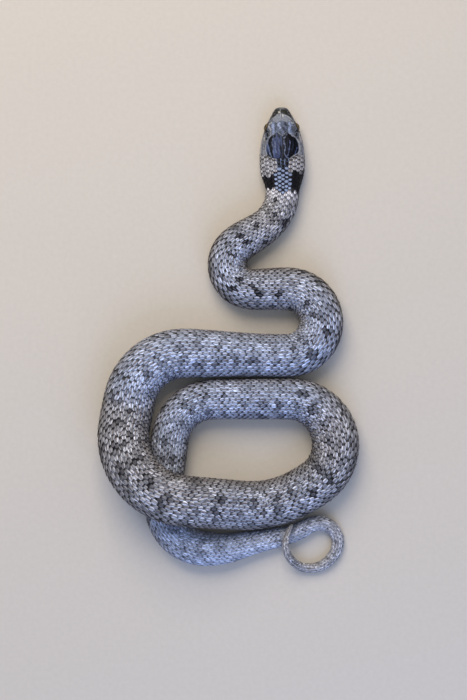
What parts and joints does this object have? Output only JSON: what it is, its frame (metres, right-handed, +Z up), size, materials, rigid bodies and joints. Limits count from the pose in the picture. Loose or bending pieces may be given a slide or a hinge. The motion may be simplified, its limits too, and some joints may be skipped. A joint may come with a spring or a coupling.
{
  "type": "coiled grass snake",
  "caption": "Young grey grass snake at life size, lying in loose S bends and a coil with the tail curled over itself, as a still museum model.",
  "frame": {"origin": "middle of the snake's box on the floor it lies on", "axes": "+Z up from the floor, +Y the way the head points"},
  "size_m": [0.0864, 0.1549, 0.024],
  "materials": {
    "head_shields": "smooth horny head shields, glossy blue-black on the crown, pale grey on the snout and temples",
    "body_scales": "dry keeled scales, satin blue-grey with small black marks, pale glossy scutes on the belly",
    "eyes": "clear glossy spectacle over a dark round pupil and a thin golden iris"
  },
  "bodies": {
    "root": {"head": "head_shields", "eye_left": "eyes", "eye_right": "eyes", "neck": "body_scales", "trunk_1": "body_scales", "trunk_2": "body_scales", "trunk_3": "body_scales", "trunk_4": "body_scales", "trunk_5": "body_scales", "trunk_6": "body_scales", "trunk_7": "body_scales", "tail_root": "body_scales", "tail_loop": "body_scales", "tail_tip": "body_scales"}
  },
  "joints": []
}
